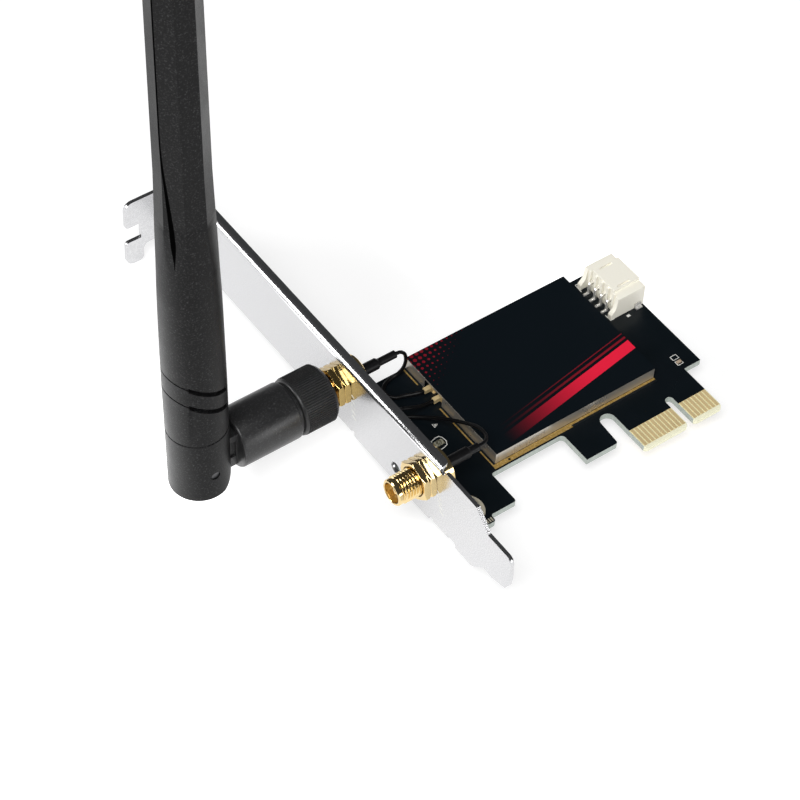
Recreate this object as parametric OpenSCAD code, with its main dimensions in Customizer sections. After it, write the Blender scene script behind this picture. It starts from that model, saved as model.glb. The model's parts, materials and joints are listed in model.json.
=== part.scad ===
// Wireless adapter card: expansion card, slot bracket and hinged antenna.
// Origin: outer face of the bracket, at the mask line of the edge fingers and on the component side.
// +X runs from the bracket along the card, +Y towards the screw tab, +Z out of the component side.

/* [Board] */
// Distance from the bracket face to the far edge of the board
board_end_x = 71.12; // [70:0.01:72]
// Edge of the board that lies away from the fingers
board_top_y = 39.37; // [39.2:0.01:40]
// Board thickness
board_t = 1.57; // [1.5:0.01:1.7]
// Length of the gold fingers below the mask line
finger_len = 5.67; // [5.2:0.01:6]
// Pitch of the fingers
finger_pitch = 1.0; // [0.95:0.01:1.0]
// Width of one finger
finger_w = 0.7; // [0.4:0.05:0.8]

/* [Bracket] */
// Sheet thickness of the bracket
sheet_t = 0.86; // [0.8:0.01:1]
// Width of the bracket face
face_w = 18.42; // [18:0.01:18.6]
// Outer face of the screw tab, measured from the mask line
tab_y = 100.92; // [100:0.01:102]
// Reach of the screw tab in front of the bracket face
tab_reach = 11.43; // [11:0.01:12]
// Width of the open screw slot
tab_slot_w = 4.42; // [4.2:0.01:4.6]
// Depth of the open screw slot
tab_slot_depth = 3.78; // [3:0.01:5]
// Depth of the stiffening flange behind the face
flange_depth = 2.3; // [2:0.1:3]

/* [Module] */
// Length of the shield can along the card
can_len = 41.4; // [38:0.1:41.5]
// Width of the shield can
can_w = 30.9; // [28:0.1:31]
// Height of the shield can
can_h = 3.05; // [2.6:0.05:3.5]
// Sheet thickness of the shield can
can_t = 0.2; // [0.15:0.05:0.3]
// Thickness of the printed label
label_t = 0.1; // [0.05:0.01:0.2]

/* [Jacks] */
// Height of both jack axes above the board
jack_z = 9.5; // [9:0.1:10]
// Place of the lower jack along the bracket
lower_jack_y = 8.1; // [7.5:0.1:9]
// Place of the upper jack along the bracket
upper_jack_y = 37.07; // [36:0.01:38]
// Outer diameter of the jack thread in front of the nuts
thread_d = 6.2; // [6:0.05:6.3]
// Reach of the threaded barrel in front of the bracket
jack_reach = 8.2; // [8:0.1:8.3]
// Width across the flats of the hex nuts
nut_flats = 8; // [7.8:0.1:8.2]
// Turn of the hex nuts about their axis, in degrees
nut_turn = 10; // [0:1:59]
// Thickness of one hex nut
nut_t = 1.5; // [1.3:0.05:1.6]

/* [Antenna] */
// Radius over the ribs of the coupling collar
collar_r = 6.35; // [6.2:0.05:6.5]
// Number of ribs round the collar
collar_ribs = 76; // [60:1:84]
// Radius of the swivel barrel
barrel_r = 6.2; // [6:0.1:6.3]
// Radius of the antenna at the hinge
sleeve_r = 6.3; // [6.2:0.1:6.4]
// Radius of the antenna near its tip
tip_r = 4.6; // [4.4:0.1:4.8]
// Length of the antenna above the hinge pin
antenna_len = 165; // [150:1:180]
// Lean of the antenna away from the bracket, in degrees
lean = 1.4; // [0:0.1:2]
// Radius of the hinge pin
pin_r = 1; // [0.9:0.05:1.1]
// Thickness of the tongue in the hinge
tongue_w = 6; // [5:0.1:6.4]

/* [Leads] */
// Diameter of the coaxial leads
lead_d = 0.8; // [0.7:0.05:0.8]

/* [Hidden] */
$fn = 48;

gold = [0.83, 0.66, 0.30];
brass = [0.72, 0.56, 0.24];
mask_black = [0.05, 0.06, 0.07];
plastic_black = [0.12, 0.12, 0.13];
steel = [0.82, 0.83, 0.84];

// Small running gap between pieces that move on each other
run_gap = 0.05;
// Gap that keeps moving pieces visibly apart
air_gap = 0.1;

// Board outline
board_x0 = 1.6;
board_low_y = 6.85;
foot_x = 16.2;
foot_y = -1.5;
lobe_x0 = 7.7;
lobe_x1 = 9.8;
lobe_y = -3.2;
hook_x0 = 34.5;
hook_x1 = 42.6;
hook_y = -1.15;
notch_x0 = 42.9;
notch_y = 6.37;
tab1_x0 = 46.4;
tab1_x1 = 57.6;
tab2_x0 = 59.5;
tab2_x1 = 66.7;
key_y = 2.58;
shoulder_y = 6.74;
plate_gold_t = 0.04;
bevel_len = 0.8;
bevel_depth = 0.4;

// Screws that hold the bracket's ears under the board
screw_x = 6.33;
screw_ys = [2.19, 35.4];
screw_ring_r = 3.9;
screw_head_r = 2.9;
screw_head_h = 1.5;
screw_shank_r = 1.3;
screw_hole_r = 1.4;
screw_len = 4.0;

// Bracket face
face_z0 = -2.09;
face_z1 = face_z0 + face_w;
flange_bend_r = 1.4;
flange_y0 = 3.6;
flange_y1 = 97;
tab_bend_r = 0.4;
tab_z0 = -5.56;
tab_z1 = 12.8;
tab_slot_z = 3.5;
ear_root = 4.58;
ear_r = 3.7;
led_hole = [17.4, 2.0];

// Module on the board
can_x0 = 18.35;
can_y0 = 8.4;
can_open_y = [26.7, 32.8];
rim_w = 0.75;
receptacle_x = 20.1;
upper_receptacle_y = 31.3;
lower_receptacle_y = 28.1;
coax_z = 1.1;

// Jack parts, as distances along the jack axis from the bracket face, outwards positive
nut_seat_r = thread_d / 2 + 0.2;
jack_bore_r = 2.3;
jack_rear_x = 4.3;
jack_rear_r = 4.3;
contact_r = 0.8;
contact_bore_r = 0.5;
insulator_back = 3.6;
crimp_r = 1.0;
crimp_end = 7;

// Antenna parts, as distances in front of the bracket face
collar_start = 4.2;
collar_end = 12.4;
nut_shell_r = 4.3;
plug_flange = 9.25;
plug_stem_r = 2.4;
plug_end = 18;
plug_pin_r = 0.45;
barrel_start = 13.0;
barrel_end = 26.9;
pin_x = -34.1;
yoke_foot = 7.0;
slot_w = tongue_w + 0.4;
tongue_r = 4.5;
seam_h = 10.2;
seam_groove = 0.2;
groove_h = [19.9, 24.9];
groove_slope = 29;
flat_count = 8;
flat_turn = -8.5;
bore_foot = seam_h + 3;

// Side-entry header
header_x0 = 64.2;
header_x1 = 71.1;
header_y = 31.6;
header_half = 5.75;
header_h = 6.2;
header_wing_h = 5.5;
pin_pitch = 2.0;
pin_z = 3.0;

// Returns the points of an arc
function arc(c, r, a0, a1, n = 8) = [for (i = [0:n])
    let (a = a0 + (a1 - a0) * i / n) c + r * [cos(a), sin(a)]];

// Extrudes an outline drawn in Y and Z along +X
module along_x(len) {
    rotate([90, 0, 90])
        linear_extrude(len)
            children();
}

// Extrudes an outline drawn in X and Z along +Y, centred on y = 0
module across_y(len) {
    rotate([90, 0, 0])
        linear_extrude(len, center = true)
            children();
}

// Cylinder along -X that starts at the distance u0 in front of the bracket
module rod_out(u0, u1, r, n = 48) {
    translate([-u1, 0, 0])
        rotate([0, 90, 0])
            cylinder(h = u1 - u0, r = r, $fn = n);
}

// Turns a profile of (radius, distance) points about the -X axis
module turned_out(n = 64) {
    rotate([0, -90, 0])
        rotate_extrude($fn = n)
            children();
}

module at_lower_jack() {
    translate([0, lower_jack_y, jack_z])
        children();
}

module at_upper_jack() {
    translate([0, upper_jack_y, jack_z])
        children();
}

// Board outline with its foot, hook, finger tabs and key notch
module board_outline() {
    notch_r = (tab1_x0 - notch_x0) / 2;
    key_r = (tab2_x0 - tab1_x1) / 2;
    corner = 0.5;
    tip_y = -finger_len;
    polygon(concat(
        [[board_x0, board_top_y], [board_x0, foot_y], [lobe_x0, foot_y]],
        arc([lobe_x0 + corner, lobe_y + corner], corner, 180, 270, 3),
        arc([lobe_x1 - corner, lobe_y + corner], corner, 270, 360, 3),
        arc([lobe_x1 + corner, foot_y - corner], corner, 180, 90, 3),
        arc([foot_x - corner, foot_y + corner], corner, 270, 360, 3),
        arc([foot_x + corner, board_low_y - corner], corner, 180, 90, 3),
        arc([hook_x0 - 1, board_low_y - 1], 1, 90, 0, 4),
        [[hook_x0, hook_y]],
        arc([hook_x1 - corner, hook_y + corner], corner, 270, 360, 3),
        arc([notch_x0 + notch_r, notch_y - notch_r], notch_r, 180, 0, 12),
        [[tab1_x0, tip_y + corner], [tab1_x0 + corner, tip_y]],
        [[tab1_x1 - corner, tip_y], [tab1_x1, tip_y + corner]],
        arc([tab1_x1 + key_r, key_y - key_r], key_r, 180, 0, 10),
        [[tab2_x0, tip_y + corner], [tab2_x0 + corner, tip_y]],
        [[tab2_x1 - corner, tip_y], [tab2_x1, tip_y + corner]],
        [[tab2_x1, shoulder_y], [board_end_x, shoulder_y], [board_end_x, board_top_y]]
    ));
}

// Wedge that bevels the finger tips, upper side for side = 1 and lower side for side = -1
module tip_bevel(side) {
    translate([0, -finger_len, -board_t / 2])
        mirror([0, 0, side > 0 ? 0 : 1])
            along_x(board_end_x + 1)
                polygon([
                    [-0.1, board_t / 2 - bevel_depth - 0.05],
                    [bevel_len, board_t / 2],
                    [bevel_len, board_t],
                    [-0.1, board_t]
                ]);
}

// Bare laminate of the card
module circuit_board() {
    color(mask_black)
        difference() {
            translate([0, 0, -board_t])
                linear_extrude(board_t)
                    board_outline();
            tip_bevel(1);
            tip_bevel(-1);
            for (y = screw_ys)
                translate([screw_x, y, -board_t - 1])
                    cylinder(h = board_t + 2, r = screw_hole_r);
        }
}

// Row of fingers on one face
module finger_row(x0, count) {
    pad_y0 = -finger_len + bevel_len;
    for (i = [0:count - 1])
        translate([x0 + i * finger_pitch - finger_w / 2, pad_y0, 0])
            cube([finger_w, -pad_y0, plate_gold_t]);
}

// Gold fingers of the card edge, on both faces
module edge_contacts() {
    first_x = (tab1_x0 + tab1_x1) / 2 - 5 * finger_pitch;
    second_x = (tab2_x0 + tab2_x1) / 2 - 3 * finger_pitch;
    color(gold)
        for (z = [0, -board_t - plate_gold_t])
            translate([0, 0, z]) {
                finger_row(first_x, 11);
                finger_row(second_x, 7);
            }
}

// Plated rings under the screw heads, and the three edge pads of the foot
module mounting_pads() {
    pad_w = 0.4;
    color(steel)
        for (y = screw_ys)
            translate([screw_x, y, 0])
                difference() {
                    cylinder(h = plate_gold_t, r = screw_ring_r);
                    translate([0, 0, -1])
                        cylinder(h = 2, r = screw_hole_r);
                }
    color(gold)
        for (i = [0:2])
            translate([lobe_x0 + 0.35 + i * (pad_w + 0.15), lobe_y + 0.25, 0])
                cube([pad_w - 0.1, 1, plate_gold_t]);
}

// Bare gold strips of the board that the shield can is soldered to
module ground_rim() {
    rim_x0 = can_x0 - rim_w;
    rim_y0 = can_y0 - 1.15;
    via_r = 0.3;
    color(gold)
        difference() {
            union() {
                translate([rim_x0, rim_y0, 0])
                    cube([can_len + rim_w, 1.1, plate_gold_t]);
                for (y = [[rim_y0, 12.6], [14.8, 21.8], [23.3, 26.4], [34.1, 39.1]])
                    translate([rim_x0, y[0], 0])
                        cube([rim_w - 0.05, y[1] - y[0], plate_gold_t]);
            }
            translate([21.5, rim_y0 + 0.55, -1])
                cylinder(h = 2, r = via_r, $fn = 24);
        }
}

// Flat part of the bracket: outline in Y and Z
module face_outline() {
    notch_z = face_z0 + 1.2;
    notch_w = 1.5;
    ear_y0 = [for (y = screw_ys) y - ear_root / 2];
    ear_y1 = [for (y = screw_ys) y + ear_root / 2];
    bend_z = face_z0 + 0.92;
    top_y = tab_y - sheet_t - tab_bend_r;
    low_z = face_z1 - flange_bend_r;
    polygon(concat(
        [[-18.6, 2.2], [-14.6, 1.0], [-11.75, 1.2], [-9.05, -1.5], [-8.06, face_z0], [-2.9, face_z0]],
        arc([-2.1, notch_z - 0.8], 0.8, 180, 90, 3),
        [[ear_y0[0], notch_z], [ear_y0[0], bend_z], [ear_y1[0], bend_z]],
        [[ear_y1[0], notch_z], [ear_y1[0] + notch_w, notch_z], [ear_y1[0] + notch_w, face_z0]],
        [[ear_y0[1] - notch_w, face_z0], [ear_y0[1] - notch_w, notch_z], [ear_y0[1], notch_z]],
        [[ear_y0[1], bend_z], [ear_y1[1], bend_z], [ear_y1[1], notch_z]],
        [[ear_y1[1] + notch_w, notch_z], [ear_y1[1] + notch_w, face_z0]],
        arc([top_y - 3.5, face_z0 + 1], 1, 270, 360, 4),
        [[top_y - 2.5, -1], [top_y, -1], [top_y, tab_z1], [top_y - 2.5, tab_z1]],
        [[top_y - 2.5, low_z], [flange_y0, low_z]],
        arc([flange_y0 - 0.7, low_z + 0.7], 0.7, 270, 180, 3),
        arc([flange_y0 - 2, face_z1 - 0.6], 0.6, 0, 90, 3),
        [[-8.1, face_z1 - 0.15], [-12.1, 11.9]],
        arc([-18.0, 10.3], 1.55, 90, 180, 4),
        [[-19.8, 6.0], [-19.4, 3.7]]
    ));
}

// Bent sheet seen along its bend line: inner radius r, one quarter turn
module bend_profile(r) {
    polygon(concat(arc([0, 0], r + sheet_t, 180, 270, 8), arc([0, 0], r, 270, 180, 8)));
}

// Screw tab of the bracket: outline in X and Z
module tab_outline() {
    x0 = -tab_reach;
    slot_z0 = tab_slot_z - tab_slot_w / 2;
    slot_z1 = tab_slot_z + tab_slot_w / 2;
    slot_x = x0 + tab_slot_depth;
    corner = 2;
    lip = 0.8;
    polygon(concat(
        [[-tab_bend_r, tab_z1]],
        arc([x0 + corner, tab_z1 - corner], corner, 90, 180, 5),
        arc([x0 + lip, slot_z1 + lip], lip, 180, 270, 4),
        [[slot_x, slot_z1], [slot_x, slot_z0]],
        arc([x0 + lip, slot_z0 - lip], lip, 90, 180, 4),
        arc([x0 + corner, tab_z0 + corner], corner, 180, 270, 5),
        arc([-8.3, tab_z0 + 1.2], 1.2, 270, 360, 4),
        arc([-5.5, -2.6], 1.6, 180, 90, 5),
        [[-tab_bend_r, -1]]
    ));
}

// Folded slot bracket with its flange, screw tab and two ears for the board
module bracket() {
    color(steel)
        difference() {
            union() {
                along_x(sheet_t)
                    face_outline();
                bracket_flange();
                bracket_tab();
                for (y = screw_ys)
                    bracket_ear(y);
            }
            at_lower_jack()
                rod_out(-3, 3, nut_seat_r + run_gap);
            at_upper_jack()
                rod_out(-3, 3, nut_seat_r + run_gap);
            translate([0, led_hole[0], led_hole[1]])
                rod_out(-3, 3, 1.5);
        }
}

module bracket_flange() {
    corner = 1.2;
    difference() {
        union() {
            translate([flange_bend_r, (flange_y0 + flange_y1) / 2, face_z1 - flange_bend_r])
                mirror([0, 0, 1])
                    across_y(flange_y1 - flange_y0)
                        bend_profile(flange_bend_r - sheet_t);
            translate([flange_bend_r, flange_y0, face_z1 - sheet_t])
                cube([flange_depth - flange_bend_r, flange_y1 - flange_y0, sheet_t]);
        }
        translate([flange_depth - corner, flange_y0 - 0.01, face_z1 - 2])
            linear_extrude(3)
                polygon(concat(
                    [[corner + 1, -1], [corner + 1, corner]],
                    arc([0, corner], corner, 0, -90, 5),
                    [[0, -1]]
                ));
    }
}

module bracket_tab() {
    translate([-tab_bend_r, tab_y - sheet_t - tab_bend_r, -1])
        linear_extrude(tab_z1 + 1)
            rotate(180)
                bend_profile(tab_bend_r);
    translate([0, tab_y - sheet_t / 2, 0])
        across_y(sheet_t)
            tab_outline();
}

// Ear that turns under the board, with a clear hole for one screw
module bracket_ear(y) {
    ear_z = -board_t - sheet_t;
    bend_x = sheet_t + 0.4;
    translate([bend_x, y, ear_z + bend_x])
        across_y(ear_root)
            bend_profile(0.4);
    translate([0, y - ear_root / 2, ear_z + bend_x])
        cube([sheet_t, ear_root, 0.4]);
    difference() {
        union() {
            translate([bend_x, y - ear_root / 2, ear_z])
                cube([screw_x - bend_x, ear_root, sheet_t]);
            translate([screw_x, y, ear_z])
                cylinder(h = sheet_t, r = ear_r);
        }
        translate([screw_x, y, ear_z - 1])
            cylinder(h = sheet_t + 2, r = screw_shank_r);
    }
}

// Two pan-head screws with a cross recess
module bracket_screws() {
    color(steel)
        for (y = screw_ys)
            translate([screw_x, y, plate_gold_t])
                difference() {
                    union() {
                        rotate_extrude()
                            polygon(concat(
                                [[0, 0], [screw_head_r, 0], [screw_head_r, 0.5]],
                                arc([screw_head_r - 1, 0.5], 1, 0, 90, 5),
                                [[0, screw_head_h]]
                            ));
                        translate([0, 0, -screw_len])
                            cylinder(h = screw_len, r = screw_shank_r);
                    }
                    for (a = [0, 90])
                        rotate(a)
                            translate([-1.5, -0.3, 0.7])
                                cube([3, 0.6, 2]);
                }
}

// Small surface-mounted light beside its hole in the bracket
module status_led() {
    translate([12.0, 19.0, 0]) {
        color(gold)
            for (x = [-1.3, 0.8])
                translate([x, -0.6, 0])
                    cube([0.5, 1.2, 0.1]);
        color([0.85, 0.86, 0.8]) {
            translate([-1.0, -0.6, 0.1])
                cube([2.0, 1.2, 0.35]);
            translate([0, 0, 0.45])
                intersection() {
                    sphere(r = 0.6, $fn = 24);
                    translate([-1, -1, 0])
                        cube([2, 2, 1]);
                }
        }
    }
}

// Chip capacitor at the shoulder of the board
module edge_capacitor() {
    translate([66.8, 8.7, 0]) {
        color([0.6, 0.5, 0.4])
            translate([-0.35, -0.3, 0])
                cube([0.7, 0.6, 0.45]);
        color(steel)
            for (x = [-0.6, 0.35])
                translate([x, -0.3, 0])
                    cube([0.25, 0.6, 0.45]);
    }
}

// Stamped cover of the radio section, open at the foot of its end wall for the two lead plugs
module shield_can() {
    open_h = can_h - 0.5;
    dimple_x = 43.7;
    color(steel)
        difference() {
            translate([can_x0, can_y0, plate_gold_t])
                cube([can_len, can_w, can_h - plate_gold_t]);
            translate([can_x0 + can_t, can_y0 + can_t, -1])
                cube([can_len - 2 * can_t, can_w - 2 * can_t, can_h - can_t + 1]);
            translate([can_x0 - 1, can_open_y[0], -1])
                cube([2, can_open_y[1] - can_open_y[0], open_h + 1]);
            translate([dimple_x, can_y0 - 4.9, 0.9])
                sphere(r = 5, $fn = 48);
        }
}

// Printed label on the shield can
module module_label() {
    color(mask_black)
        translate([can_x0 + 0.05, can_y0 - 0.1, can_h])
            cube([can_len + 0.05, can_w + 0.2, label_t]);
}

// Radio chip under the shield can
module radio_chip() {
    color(plastic_black)
        translate([34, 17, 0.02])
            cube([12, 12, 0.95]);
}

// Clock crystal of the radio chip
module clock_crystal() {
    color(steel)
        translate([29, 21.5, 0])
            cube([2.5, 3.2, 0.7]);
}

// Board half of a micro coaxial connector
module receptacle(y) {
    translate([receptacle_x, y, 0]) {
        color(plastic_black)
            translate([-1.1, -1.1, 0])
                cube([2.2, 2.2, 0.3]);
        color(gold) {
            difference() {
                translate([0, 0, 0.3])
                    cylinder(h = 0.7, r = 0.75, $fn = 32);
                translate([0, 0, 0.3])
                    cylinder(h = 1, r = 0.6, $fn = 32);
            }
            translate([0, 0, 0.3])
                cylinder(h = 0.6, r = 0.15, $fn = 16);
        }
    }
}

module upper_receptacle() {
    receptacle(upper_receptacle_y);
}

module lower_receptacle() {
    receptacle(lower_receptacle_y);
}

// Lead half of a micro coaxial connector, with its crimp towards the bracket
module lead_plug(y) {
    cap_r = 1.15;
    crimp_x = 17.2;
    color(gold)
        translate([receptacle_x, y, 0])
            difference() {
                union() {
                    translate([0, 0, 0.4])
                        cylinder(h = 1.2, r = cap_r, $fn = 32);
                    translate([crimp_x - receptacle_x, -0.5, coax_z - 0.5])
                        cube([receptacle_x - crimp_x - cap_r + 0.2, 1, 1]);
                }
                translate([0, 0, -1])
                    cylinder(h = 2.3, r = 0.8, $fn = 32);
            }
}

module upper_plug() {
    lead_plug(upper_receptacle_y);
}

module lower_plug() {
    lead_plug(lower_receptacle_y);
}

// Routes of the two leads, from the crimp of the jack to the crimp of the plug
upper_route = [
    [7.0, 37.07, 9.5], [9.0, 37.07, 9.5], [11.0, 37.07, 9.5], [13.7, 37.07, 9.5], [15.2, 37.15, 9.0],
    [16.3, 37.25, 7.6], [16.75, 37.35, 5.7], [16.7, 37.5, 3.9], [16.2, 37.8, 2.2], [15.0, 38.1, 0.95],
    [13.4, 38.15, 0.55], [11.8, 37.6, 0.5], [10.7, 36.4, 0.5], [10.6, 34.8, 0.5], [11.7, 33.5, 0.5],
    [13.5, 32.8, 0.6], [15.2, 31.9, 0.9], [16.3, 31.4, 1.1], [17.15, 31.3, 1.1]
];
lower_route = [
    [7.0, 8.1, 9.5], [9.0, 8.1, 9.5], [11.0, 8.1, 9.5], [13.0, 8.1, 9.5], [15.1, 8.5, 9.2],
    [16.6, 10.1, 8.5], [17.2, 12.3, 7.7], [17.3, 14.3, 6.8], [17.0, 16.5, 5.6], [16.0, 20.0, 3.8],
    [14.9, 22.8, 2.4], [13.1, 25.5, 1.2], [10.9, 27.7, 0.6], [9.2, 28.6, 0.6], [7.8, 29.0, 1.2],
    [7.1, 28.9, 2.45], [7.65, 28.5, 3.65], [8.95, 28.0, 4.15], [10.8, 27.6, 3.6], [12.9, 27.7, 2.5],
    [14.8, 27.95, 1.55], [16.1, 28.1, 1.15], [17.15, 28.1, 1.1]
];

// Point between b and c on the smooth curve through a, b, c and d
function curve_point(a, b, c, d, t) =
    0.5 * (2 * b + (c - a) * t + (2 * a - 5 * b + 4 * c - d) * t * t + (3 * b - a - 3 * c + d) * t * t * t);
// Smooth line through the points of a route, with n steps between neighbours
function smooth_line(p, n) = concat(
    [for (i = [0:len(p) - 2], k = [0:n - 1])
        curve_point(p[max(i - 1, 0)], p[i], p[i + 1], p[min(i + 2, len(p) - 1)], k / n)],
    [p[len(p) - 1]]
);
function unit(v) = v / norm(v);
function tangent(p, i) = unit(p[min(i + 1, len(p) - 1)] - p[max(i - 1, 0)]);
// Carries the side direction s along the line, so that the tube doesn't twist
function sides(p, s, i = 0, done = []) =
    i == len(p) ? done :
    let (t = tangent(p, i), s2 = unit(s - (s * t) * t))
    sides(p, s2, i + 1, concat(done, [s2]));

// Round tube along a line of points
module tube_along(p, r, n = 8) {
    s = sides(p, [0, 1, 0.2]);
    rings = len(p);
    points = [for (i = [0:rings - 1], k = [0:n - 1])
        let (t = tangent(p, i), a = 360 * k / n)
        p[i] + r * (cos(a) * s[i] + sin(a) * cross(t, s[i]))];
    walls = [for (i = [0:rings - 2], k = [0:n - 1], half = [0, 1])
        let (a = i * n + k, b = i * n + (k + 1) % n)
        half == 0 ? [a, b, b + n] : [a, b + n, a + n]];
    start_cap = [[for (k = [0:n - 1]) n - 1 - k]];
    end_cap = [[for (k = [0:n - 1]) (rings - 1) * n + k]];
    polyhedron(points, concat(walls, start_cap, end_cap));
}

module upper_lead() {
    color(plastic_black)
        tube_along(smooth_line(upper_route, 2), lead_d / 2);
}

module lower_lead() {
    color(plastic_black)
        tube_along(smooth_line(lower_route, 2), lead_d / 2);
}

// Shrunk sleeve over the crimp of a jack and the start of its lead
module shrink_sleeve(thick_end, thin_end) {
    thick_r = 1.25;
    thin_r = 0.85;
    bore_r = lead_d / 2 + run_gap;
    color(plastic_black)
        rotate([0, 90, 0])
            rotate_extrude($fn = 32)
                polygon([
                    [crimp_r, jack_rear_x + 0.05], [thick_r, jack_rear_x + 0.05], [thick_r, thick_end],
                    [thin_r, thick_end + 0.6], [thin_r, thin_end], [bore_r, thin_end],
                    [bore_r, crimp_end], [crimp_r, crimp_end]
                ]);
}

module upper_sleeve() {
    at_upper_jack()
        shrink_sleeve(8.9, 13.6);
}

module lower_sleeve() {
    at_lower_jack()
        shrink_sleeve(10.4, 13.0);
}

// Outline of the header's moulded body in Y and Z, centred on y = 0
module header_section() {
    roof_half = 3.6;
    polygon([
        [-header_half, 0], [header_half, 0], [header_half, header_wing_h], [roof_half, header_wing_h],
        [roof_half, header_h], [-roof_half, header_h],
        [-roof_half, header_wing_h], [-header_half, header_wing_h]
    ]);
}

// Wing of the header with its sloped foot towards the pins
module header_wing(side) {
    wing_t = 1.1;
    translate([0, side * (header_half - wing_t / 2), 0])
        across_y(wing_t)
            polygon([
                [header_x0 - 1.9, 0], [header_x0 + 1, 0], [header_x0 + 1, header_wing_h],
                [header_x0 - 0.4, header_wing_h], [header_x0 - 0.8, 2.6], [header_x0 - 1.9, 1.3]
            ]);
}

module header_housing() {
    cavity_half = 4.5;
    color([0.93, 0.91, 0.84])
        translate([0, header_y, 0])
            difference() {
                union() {
                    translate([header_x0, 0, 0])
                        along_x(header_x1 - header_x0)
                            header_section();
                    for (side = [-1, 1])
                        header_wing(side);
                    for (i = [-2:2])
                        translate([header_x0 - 0.5, i * pin_pitch - 0.3, 2.2])
                            cube([0.6, 0.6, 3.6]);
                }
                translate([header_x0 + 1.2, 0, 0])
                    along_x(10)
                        polygon([
                            [-cavity_half, 1], [cavity_half, 1], [cavity_half, 4.8], [cavity_half - 1.2, 4.8],
                            [cavity_half - 1.2, 5.3], [1.2 - cavity_half, 5.3], [1.2 - cavity_half, 4.8],
                            [-cavity_half, 4.8]
                        ]);
                for (side = [-1, 1]) {
                    translate([header_x0 + 1.4, side * 3.0 - 0.25, header_h - 0.4])
                        cube([3.2, 0.5, 1]);
                    translate([header_x1 - 2.4, side * header_half - 0.4, -1])
                        cube([1.8, 0.8, 2.4]);
                }
                for (i = [-1.5:1:1.5])
                    translate([header_x0 - 1, i * pin_pitch - 0.32, pin_z - 0.32])
                        cube([3, 0.64, 0.64]);
            }
}

// Four bent pins: solder foot, riser and blade in the mouth of the header
module header_pins() {
    w = 0.6;
    back_x = header_x0 - 0.9;
    color(steel)
        for (i = [-1.5:1:1.5])
            translate([0, header_y + i * pin_pitch, 0])
                across_y(w)
                    polygon([
                        [back_x - 1.4, 0], [back_x + 0.3, 0], [back_x + 0.3, pin_z - w / 2],
                        [header_x1 - 1.6, pin_z - w / 2], [header_x1 - 1.2, pin_z - 0.15],
                        [header_x1 - 1.2, pin_z + 0.15], [header_x1 - 1.6, pin_z + w / 2],
                        [back_x, pin_z + w / 2], [back_x - 0.3, pin_z + w / 2 - 0.3],
                        [back_x - 0.3, 0.35], [back_x - 1.4, 0.35]
                    ]);
}

// Two solder tabs that hold the header down
module header_tabs() {
    color(steel)
        for (side = [-1, 1])
            translate([header_x1 - 2.3, header_y + side * (header_half - 0.15) - 0.25, 0]) {
                cube([1.6, 0.5, 1.3]);
                translate([0, side > 0 ? 0.5 : -0.7, 0])
                    cube([1.6, 0.7, 0.3]);
            }
}

// Threaded jack with its round rear body and the crimp for its lead
module jack_body() {
    front_ring = 1.0;
    ring_r = thread_d / 2 - 0.2;
    chamfer = 0.3;
    color(gold)
        difference() {
            turned_out()
                polygon([
                    [0, -crimp_end], [crimp_r, -crimp_end], [crimp_r, -jack_rear_x],
                    [jack_rear_r, -jack_rear_x], [jack_rear_r, -sheet_t],
                    [nut_seat_r, -sheet_t], [nut_seat_r, 2 * nut_t], [thread_d / 2, 2 * nut_t],
                    [thread_d / 2, jack_reach - front_ring],
                    [ring_r, jack_reach - front_ring], [ring_r, jack_reach - chamfer],
                    [ring_r - chamfer, jack_reach], [0, jack_reach]
                ]);
            rod_out(-insulator_back, jack_reach + 1, jack_bore_r);
            rod_out(-crimp_end - 1, 0, contact_bore_r);
        }
}

module jack_insulator() {
    color([0.92, 0.91, 0.88])
        difference() {
            rod_out(-insulator_back, 5.2, jack_bore_r);
            rod_out(-insulator_back - 1, 6, contact_r);
        }
}

module jack_contact() {
    color(gold)
        difference() {
            rod_out(-insulator_back, 7.2, contact_r, 32);
            rod_out(3.5, 8, contact_bore_r, 32);
        }
}

// Chamfered hex nut from the distance u0 to u0 + nut_t
module hex_nut(u0) {
    corner_r = nut_flats / 2 / cos(30);
    cut_r = 0.5;
    cut_t = 0.3;
    color(gold)
        difference() {
            intersection() {
                translate([-u0 - nut_t, 0, 0])
                    rotate([-nut_turn, 0, 0])
                        rotate([0, 90, 0])
                            cylinder(h = nut_t, r = corner_r, $fn = 6);
                turned_out()
                    polygon([
                        [0, u0], [corner_r - cut_r, u0], [corner_r, u0 + cut_t],
                        [corner_r, u0 + nut_t - cut_t], [corner_r - cut_r, u0 + nut_t], [0, u0 + nut_t]
                    ]);
            }
            rod_out(u0 - 1, u0 + nut_t + 1, nut_seat_r);
        }
}

module lower_jack_body() {
    at_lower_jack()
        jack_body();
}

module lower_jack_insulator() {
    at_lower_jack()
        jack_insulator();
}

module lower_jack_contact() {
    at_lower_jack()
        jack_contact();
}

module lower_locknut() {
    at_lower_jack()
        hex_nut(0);
}

module lower_front_nut() {
    at_lower_jack()
        hex_nut(nut_t);
}

module upper_jack_body() {
    at_upper_jack()
        jack_body();
}

module upper_jack_insulator() {
    at_upper_jack()
        jack_insulator();
}

module upper_jack_contact() {
    at_upper_jack()
        jack_contact();
}

module upper_locknut() {
    at_upper_jack()
        hex_nut(0);
}

module upper_front_nut() {
    at_upper_jack()
        hex_nut(nut_t);
}

// Outline of the ribs round the collar
module rib_outline() {
    groove = 0.14;
    step = 360 / collar_ribs;
    polygon([for (i = [0:collar_ribs - 1], k = [0:3])
        let (a = (i + [0, 0.2, 0.5, 0.7][k]) * step, r = collar_r - (k == 0 || k == 3 ? groove : 0))
        r * [cos(a), sin(a)]]);
}

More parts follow.
